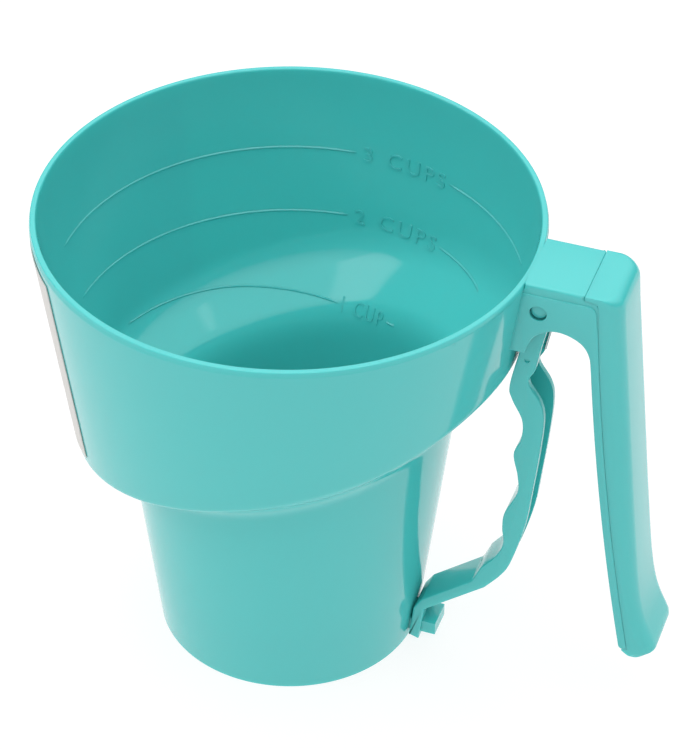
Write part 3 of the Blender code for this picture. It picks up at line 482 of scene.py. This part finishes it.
def ear_underside():
    """The arch the trigger swings under, from the grip's top round to the ear's toe and the cup."""
    arch = smooth_line([(grip_front(GRIP_TOP_Z), GRIP_TOP_Z)]
                       + [(x, ARCH_TOP_Z - drop) for x, drop in ARCH_SHAPE]
                       + [(EAR_TOE_X, EAR_BOTTOM_Z)], 8)[1:]
    return [(x, z, 0) for x, z in arch] + [(bite(EAR_BOTTOM_Z), EAR_BOTTOM_Z, 0)]


def grip_inner_line(low, high, count=24):
    return [(grip_front(z), z, 0) for z in np.linspace(low, high, count)]


def make_bracket():
    """Bracket, ears and the grip's front strip: one side outline carried across, its top edges softened,
    hollowed out for the trigger."""
    under = BRACKET_TOP - 0.0016
    strip_foot = GRIP_FOOT_Z + 0.0021
    step = RIM_HEIGHT - RIM_STEP_HEIGHT
    corners = [(bite(step), step, 0), (PLATE_START, step, 0), (PLATE_START, BRACKET_TOP, 0),
               (BRACKET_REACH, BRACKET_TOP, 0.0002), (BRACKET_REACH, under, 0),
               (grip_front(under) + FRONT_STRIP, under, 0.0015)]
    corners += [(grip_front(z) + FRONT_STRIP, z, 0) for z in np.linspace(0.125, strip_foot + 0.004, 24)]
    corners += [(grip_front(strip_foot) + FRONT_STRIP, strip_foot, 0.0004),
                (grip_front(strip_foot), strip_foot, 0.0012)]
    corners += grip_inner_line(strip_foot + 0.004, GRIP_TOP_Z) + ear_underside()
    outline = rounded_outline(corners, 8)
    weight = np.where(outline[:, 1] > BRACKET_TOP - 0.0004, 1.0, 0.0)
    bracket = mesh_from_arrays("bracket", *slab(outline, -HALF_WIDTH, HALF_WIDTH, 0.0009, 6, weight),
                               "cup", ("cup_body",))
    roof = BRACKET_TOP - 0.0032
    back = grip_front(roof) + FRONT_STRIP - 0.0022
    hollow = [(bite(0.100), 0.100), (0.0664, roof), (back - 0.0010, roof),
              (back - 0.0002, EAR_BOTTOM_Z), (back, 0.100)]
    pin_hole = cross_rod(PIN_RADIUS + 0.00015, -0.02, 0.02, (PIVOT.x, PIVOT.z))
    return carve(bracket, [
        (scratch("hollow", *slab(hollow, -HALF_WIDTH + EAR_WALL, HALF_WIDTH - EAR_WALL, 0)), "DIFFERENCE"),
        (scratch("pin_hole", *pin_hole), "DIFFERENCE")], 50)


def make_ear_panel(name, side):
    """The raised side panel of the bracket and grip: a slab with softened edges, bored for the pin."""
    strip_foot = GRIP_FOOT_Z + 0.0024
    seam = [(grip_front(z) + FRONT_STRIP, z, 0) for z in np.linspace(0.126, strip_foot + 0.005, 24)]
    corners = [(bite(PANEL_TOP_Z), PANEL_TOP_Z, 0),
               (grip_front(PANEL_TOP_Z) + FRONT_STRIP - 0.0004, PANEL_TOP_Z, 0.0022)]
    corners += seam + [(grip_front(strip_foot) + FRONT_STRIP, strip_foot, 0.001),
                       (grip_front(strip_foot), strip_foot, 0.001)]
    corners += grip_inner_line(strip_foot + 0.005, GRIP_TOP_Z) + ear_underside()
    outline = rounded_outline(corners, 8)
    outline += inward_normals(outline) * 0.00004
    near, far = HALF_WIDTH - 0.0012, HALF_WIDTH + PANEL_RISE
    ends = (near, far) if side > 0 else (-far, -near)
    panel = mesh_from_arrays(name, *slab(outline, *ends, 0.00025, 4), "cup", ("cup_body",))
    hole = cross_rod(PIN_RADIUS + 0.00015, -0.02, 0.02, (PIVOT.x, PIVOT.z))
    return carve(panel, [(scratch("hole", *hole), "DIFFERENCE")], 50)


def make_back_shell():
    """Back half of the grip: side outline from the rear face's line and the seam, its depth shrunk
    towards both sides by a quarter circle: x = seam + (x - seam)(1 - corner (1 - cos a) / depth)."""
    start = BRACKET_REACH + 0.00004
    top = BRACKET_TOP - 0.00012
    foot = GRIP_FOOT_Z
    corners = [(start, top, 0.0001), (grip_back(RIM_HEIGHT), top, 0.0036)]
    rear = [(grip_back(s[0]), s[0]) for s in GRIP_DEPTHS[1:]]
    line = smooth_line([(grip_back(0.1290), 0.1290)] + rear[1:-1]
                       + [(rear[-1][0] - 0.0004, rear[-1][1] + 0.001)], 7)
    corners += [(x, z, 0) for x, z in line]
    corners += [(grip_back(0.0215) - 0.0001, 0.0206, 0.0012), (grip_back(0.0215) - 0.0030, foot, 0.0030),
                (grip_front(foot) + 0.0022, foot, 0.0030),
                (grip_front(foot + 0.002), foot + 0.0021, 0.0008)]
    z_seam = np.linspace(foot + 0.0022, 0.125, 24)
    corners += [(grip_front(z) + FRONT_STRIP + 0.00004, z, 0) for z in z_seam]
    corners += [(grip_front(0.136) + FRONT_STRIP + 0.00004, top - 0.0014, 0.0012), (start, top - 0.0014, 0)]
    outline = rounded_outline(corners, 7)
    seam = np.where(outline[:, 1] > top - 0.0018, start, grip_front(outline[:, 1]) + FRONT_STRIP + 0.00004)
    seam = np.where(outline[:, 1] < foot + 0.0022, grip_front(foot) + 0.002, seam)
    depth = np.maximum(outline[:, 0] - seam, 0.0)
    full = np.maximum(grip_back(outline[:, 1]) - seam, 1e-4)
    share = np.clip(depth / full, 0, 1)
    corner = 0.0040
    a = np.linspace(0, math.pi / 2, 9)
    pull = corner * (1 - np.sin(a))
    y = HALF_WIDTH - corner * (1 - np.cos(a))
    rows_y = np.concatenate([-y, y[::-1]])
    rows_pull = np.concatenate([pull, pull[::-1]])
    x = outline[None, :, 0] - rows_pull[:, None] * share[None]
    pts = np.stack([x, np.broadcast_to(rows_y[:, None], x.shape),
                    np.broadcast_to(outline[None, :, 1], x.shape)], axis=-1)
    n, m = x.shape
    faces = tube_faces(n, m)
    return mesh_from_arrays("grip_shell", pts.reshape(-1, 3), faces, "cup", ("handle_back_shell",), 40)


# ------------------------------------------------------------------ trigger
def trigger_outline():
    """Side outline: hub, guard, two finger waves, arm and the forked foot against the cup's wall."""
    def foot_x(z):
        return FOOT_RADIUS + LOWER_TAPER * z + 0.0003
    waves = smooth_line([(0.0656, 0.1125), (0.0633, 0.1000), (0.0642, 0.0953), (0.0672, 0.0890),
                         (0.0672, 0.0826), (0.0654, 0.0768), (0.0668, 0.0695), (0.0670, 0.0635),
                         (0.0638, 0.0555), (0.0633, 0.0500),
                         (0.0638, 0.0445), (0.0622, 0.0395), (0.0578, 0.0333)], 7)
    arm = rounded_outline([(0.0578, 0.0333, 0), (0.0555, 0.0278, 0.003), (0.0412, 0.0163, 0.003),
                           (foot_x(0.0125), 0.0125, 0.001), (foot_x(0.001), 0.0010, 0.0002)])
    front = np.vstack([[(PIVOT.x - TRIGGER_HUB, PIVOT.z)], waves, arm[1:]])
    low = [(foot_x(0.001) + 0.003, 0.001), (foot_x(0.0125) + 0.003, 0.0125), (0.0437, 0.0141)]
    sweep = smooth_line([(0.0591, 0.0264), (0.0635, 0.0322), (0.0662, 0.0379), (0.0696, 0.0518),
                         (0.0711, 0.0647), (0.0725, 0.0789), (0.0731, 0.0904), (0.0719, 0.0962),
                         (0.0684, 0.1022), (0.0700, 0.1068),
                         (0.0710, 0.1132), (0.0724, 0.1200)], 5)
    turn = np.linspace(0, math.pi, 20)
    hub = np.column_stack([PIVOT.x + TRIGGER_HUB * np.cos(turn), PIVOT.z + TRIGGER_HUB * np.sin(turn)])
    return np.vstack([front, low, sweep, hub]), front


def make_trigger():
    outline, front = trigger_outline()
    trigger = mesh_from_arrays("trigger_lever", *slab(outline, -TRIGGER_HALF, TRIGGER_HALF, 0.0004),
                               "trigger", ("trigger",))
    along = np.gradient(front, axis=0)
    along /= np.linalg.norm(along, axis=1, keepdims=True)
    web = front + TRIGGER_WALL * np.column_stack([-along[:, 1], along[:, 0]])
    web = web[(web[:, 1] < 0.1200) & (web[:, 0] > 0.0440)]
    inside = np.vstack([web, [(0.0462, 0.0100), (0.0900, 0.0100), (0.0900, 0.1400),
                              (0.0600, 0.1400), (0.0600, 0.1225)]])
    half = TRIGGER_HALF - TRIGGER_WALL
    side = HALF_WIDTH - EAR_WALL - 0.0003
    centre = (PIVOT.x, PIVOT.z)
    fork = slab([(0.030, -0.010), (0.0450, -0.010), (0.0450, 0.0107), (0.030, 0.0107)], -0.0018, 0.0018, 0)
    tools = [(scratch("channel", *slab(inside, -half, half, 0)), "DIFFERENCE"),
             (scratch("boss_near", *cross_rod(TRIGGER_HUB, -side, -TRIGGER_HALF + 0.0006, centre)), "UNION"),
             (scratch("boss_far", *cross_rod(TRIGGER_HUB, TRIGGER_HALF - 0.0006, side, centre)), "UNION"),
             (scratch("bore", *cross_rod(PIN_RADIUS + 0.0002, -0.02, 0.02, centre)), "DIFFERENCE"),
             (scratch("dimple", *cross_rod(0.0007, -TRIGGER_HALF - 0.01, -TRIGGER_HALF + 0.0004,
                                           (0.0677, 0.1096), 20)), "DIFFERENCE"),
             (scratch("fork", *fork), "DIFFERENCE")]
    return carve(trigger, tools)


def make_pin():
    """Pivot pin: a round bar with softly rounded ends, sunk a little below both ears."""
    reach = HALF_WIDTH - 0.0005
    pts, faces = cross_rod(PIN_RADIUS, -reach, reach, (PIVOT.x, PIVOT.z), 48, 0.0003)
    return mesh_from_arrays("pin", pts, faces, "cup", ("pivot_pin",), 50)


def make_spring():
    """Torsion spring: a tube of constant radius round the path; the path is a leg under the roof, a coil
    (x, z) = pivot + R (cos a, sin a), y = y0 + pitch a, and a leg down behind the trigger's web."""
    rise, coil, wire, spread, turns = math.radians(40), 0.0030, 0.0004, 0.0056, 4
    start = -math.pi / 2 + rise
    total = 2 * math.pi * (turns + 1) + start
    turned = np.linspace(0, total, 48 * turns)
    path = np.column_stack([PIVOT.x + coil * np.cos(start - turned), -spread / 2 + spread * turned / total,
                            PIVOT.z + coil * np.sin(start - turned)])
    climb = BRACKET_TOP - 0.0032 - 0.0003 - wire - path[0, 2]
    path = np.vstack([path[0] + (climb / math.tan(rise), 0, climb), path, (0.0702, path[-1, 1], 0.1080)])
    along = np.gradient(path, axis=0)
    along /= np.linalg.norm(along, axis=1, keepdims=True)
    side = np.cross(along, (0.0, 1.0, 0.0))
    side /= np.linalg.norm(side, axis=1, keepdims=True)
    other = np.cross(along, side)
    turn = np.linspace(0, 2 * math.pi, 12, endpoint=False)
    pts = path[:, None] + wire * (np.cos(turn)[None, :, None] * side[:, None]
                                  + np.sin(turn)[None, :, None] * other[:, None])
    n, m = pts.shape[:2]
    faces = tube_faces(n, m)
    return mesh_from_arrays("spring_wire", pts.reshape(-1, 3), faces, "cup", ("return_spring",), 60)


# ------------------------------------------------------------------ materials
def plastic(name, color, deep, roughness=0.26, bump=0.12):
    """Moulded plastic: a slow drift of tone, a fine mould texture in the bump and faint gloss variation."""
    mat = bpy.data.materials.new(name)
    mat.use_nodes = True
    nodes, links = mat.node_tree.nodes, mat.node_tree.links
    shader = nodes["Principled BSDF"]
    coords = nodes.new("ShaderNodeTexCoord")
    slow = nodes.new("ShaderNodeTexNoise")
    slow.inputs["Scale"].default_value = 14.0
    slow.inputs["Detail"].default_value = 2.0
    links.new(coords.outputs["Object"], slow.inputs["Vector"])
    tone = nodes.new("ShaderNodeMix")
    tone.data_type = "RGBA"
    tone.inputs["A"].default_value = (*color, 1)
    tone.inputs["B"].default_value = (*deep, 1)
    links.new(slow.outputs["Fac"], tone.inputs["Factor"])
    links.new(tone.outputs["Result"], shader.inputs["Base Color"])
    fine = nodes.new("ShaderNodeTexNoise")
    fine.inputs["Scale"].default_value = 900.0
    fine.inputs["Detail"].default_value = 3.0
    links.new(coords.outputs["Object"], fine.inputs["Vector"])
    gloss = nodes.new("ShaderNodeMapRange")
    gloss.inputs["To Min"].default_value = roughness - 0.03
    gloss.inputs["To Max"].default_value = roughness + 0.04
    links.new(slow.outputs["Fac"], gloss.inputs["Value"])
    links.new(gloss.outputs["Result"], shader.inputs["Roughness"])
    relief = nodes.new("ShaderNodeBump")
    relief.inputs["Strength"].default_value = bump
    relief.inputs["Distance"].default_value = 0.00002
    links.new(fine.outputs["Fac"], relief.inputs["Height"])
    links.new(relief.outputs["Normal"], shader.inputs["Normal"])
    shader.inputs["IOR"].default_value = 1.49
    shader.inputs["Subsurface Weight"].default_value = 0.25
    shader.inputs["Subsurface Radius"].default_value = (0.2, 1.0, 0.9)
    shader.inputs["Subsurface Scale"].default_value = 0.004
    return mat


def steel(name, color, roughness):
    """Drawn steel: fine streaks in the gloss."""
    mat = bpy.data.materials.new(name)
    mat.use_nodes = True
    nodes, links = mat.node_tree.nodes, mat.node_tree.links
    shader = nodes["Principled BSDF"]
    shader.inputs["Base Color"].default_value = (*color, 1)
    shader.inputs["Metallic"].default_value = 1.0
    coords = nodes.new("ShaderNodeTexCoord")
    streaks = nodes.new("ShaderNodeTexNoise")
    streaks.inputs["Scale"].default_value = 1500.0
    links.new(coords.outputs["Object"], streaks.inputs["Vector"])
    gloss = nodes.new("ShaderNodeMapRange")
    gloss.inputs["To Min"].default_value = roughness - 0.06
    gloss.inputs["To Max"].default_value = roughness + 0.08
    links.new(streaks.outputs["Fac"], gloss.inputs["Value"])
    links.new(gloss.outputs["Result"], shader.inputs["Roughness"])
    return mat


def paper(name, color):
    """Coated label stock: faint mottling in tone and sheen."""
    mat = bpy.data.materials.new(name)
    mat.use_nodes = True
    nodes, links = mat.node_tree.nodes, mat.node_tree.links
    shader = nodes["Principled BSDF"]
    coords = nodes.new("ShaderNodeTexCoord")
    mottle = nodes.new("ShaderNodeTexNoise")
    mottle.inputs["Scale"].default_value = 300.0
    links.new(coords.outputs["Object"], mottle.inputs["Vector"])
    tone = nodes.new("ShaderNodeMix")
    tone.data_type = "RGBA"
    tone.inputs["A"].default_value = (*color, 1)
    tone.inputs["B"].default_value = (*[c * 0.94 for c in color], 1)
    links.new(mottle.outputs["Fac"], tone.inputs["Factor"])
    links.new(tone.outputs["Result"], shader.inputs["Base Color"])
    shader.inputs["Roughness"].default_value = 0.42
    return mat


def wear(obj, material):
    obj.data.materials.clear()
    obj.data.materials.append(material)


# ------------------------------------------------------------------ build
turquoise = plastic("turquoise_moulded", (0.092, 0.600, 0.590), (0.086, 0.585, 0.575), 0.09)
inner = plastic("turquoise_inner", (0.080, 0.520, 0.495), (0.075, 0.500, 0.475), 0.20)

wire_steel = steel("drawn_steel", (0.56, 0.57, 0.58), 0.26)
label_stock = paper("label_stock", (0.72, 0.70, 0.67))

cup = make_cup_wall()
wear(cup, turquoise)
for number, words, height, tall, line_ends, text_ends in (
        (3, "3 CUPS", 0.1134, 0.0046, ((27, 65), (92.5, 185)), (66.5, 90.5)),
        (2, "2 CUPS", 0.0934, 0.0046, ((43, 65), (94, 181)), (66.5, 92)),
        (1, "1 CUP", 0.0728, 0.0046, ((68, 72), (92.5, 163)), (73.5, 91))):
    for side, (start, end) in zip(("short", "long"), line_ends):
        wear(make_mark_line(f"mark_{number}_{side}", height, start, end), turquoise)
    wear(make_mark_text(f"mark_{number}_text", words, height, *text_ends, tall), turquoise)
wear(make_label(), label_stock)
wear(make_bracket(), turquoise)
wear(make_ear_panel("ear_panel_near", -1), turquoise)
wear(make_ear_panel("ear_panel_far", 1), turquoise)
wear(make_back_shell(), turquoise)
wear(make_trigger(), turquoise)
wear(make_pin(), turquoise)
wear(make_spring(), wire_steel)
metal_nodes = ("agitator_shaft", "shaft_washer", "shaft_cap", "mesh_screen", "return_spring")
for name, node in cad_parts.items():
    node.data.materials.clear()
    node.data.materials.append(wire_steel if name in metal_nodes else inner)

# ------------------------------------------------------------------ floor, lights and camera
floor_mesh = bpy.data.meshes.new("floor")
floor_mesh.from_pydata([(-6, -6, 0), (6, -6, 0), (6, 6, 0), (-6, 6, 0)], [], [(0, 1, 2, 3)])
floor = bpy.data.objects.new("floor", floor_mesh)
bpy.context.scene.collection.objects.link(floor)
floor.location.z = -0.0002
floor_mat = bpy.data.materials.new("pale_floor")
floor_mat.use_nodes = True
floor_mat.node_tree.nodes["Principled BSDF"].inputs["Base Color"].default_value = (0.2, 0.2, 0.2, 1)
floor_mat.node_tree.nodes["Principled BSDF"].inputs["Roughness"].default_value = 0.9
floor_mat.node_tree.nodes["Principled BSDF"].inputs["Emission Color"].default_value = (1, 1, 1, 1)
floor_mat.node_tree.nodes["Principled BSDF"].inputs["Emission Strength"].default_value = 0.84
floor_mesh.materials.append(floor_mat)

world = bpy.data.worlds.new("studio")
bpy.context.scene.world = world
world.use_nodes = True
sky, sky_links = world.node_tree.nodes, world.node_tree.links
direction = sky.new("ShaderNodeTexCoord")
height = sky.new("ShaderNodeSeparateXYZ")
glow = sky.new("ShaderNodeMapRange")
glow.interpolation_type = "SMOOTHSTEP"
glow.inputs["From Min"].default_value = 0.20
glow.inputs["From Max"].default_value = 0.75
glow.inputs["To Min"].default_value = 0.04
glow.inputs["To Max"].default_value = 1.35
sky["Background"].inputs["Color"].default_value = (1, 1, 1, 1)
sky_links.new(direction.outputs["Generated"], height.inputs["Vector"])
sky_links.new(height.outputs["Z"], glow.inputs["Value"])
sky_links.new(glow.outputs["Result"], sky["Background"].inputs["Strength"])
bpy.context.scene.view_settings.view_transform = "Standard"


def soft_light(name, location, target, size, power):
    data = bpy.data.lights.new(name, "AREA")
    data.shape = "RECTANGLE"
    data.size, data.size_y = size
    data.energy = power
    lamp = bpy.data.objects.new(name, data)
    lamp.location = location
    lamp.rotation_euler = (Vector(target) - Vector(location)).to_track_quat("-Z", "Y").to_euler()
    bpy.context.scene.collection.objects.link(lamp)
    return lamp


soft_light("top_box", (0.0, 0.1, 1.2), (0, 0, 0.08), (0.9, 0.7), 2.2)
soft_light("left_box", (-0.9, -0.5, 0.7), (0, 0, 0.08), (0.5, 0.8), 1.5)

view = bpy.data.cameras.new("camera")
view.sensor_fit = "HORIZONTAL"
view.sensor_width = 36.0
view.lens = 164.3
view.clip_start = 0.05
eye = bpy.data.objects.new("camera", view)
place = Vector((0.2308 + CUP_X, -0.6326, 0.6306))
facing = Vector((-0.24791, 0.734531, -0.631669)).to_track_quat("-Z", "Y").to_matrix().to_4x4()
eye.matrix_world = Matrix.Translation(place) @ facing @ Matrix.Rotation(0.0120, 4, "Z")
bpy.context.scene.collection.objects.link(eye)
bpy.context.scene.camera = eye
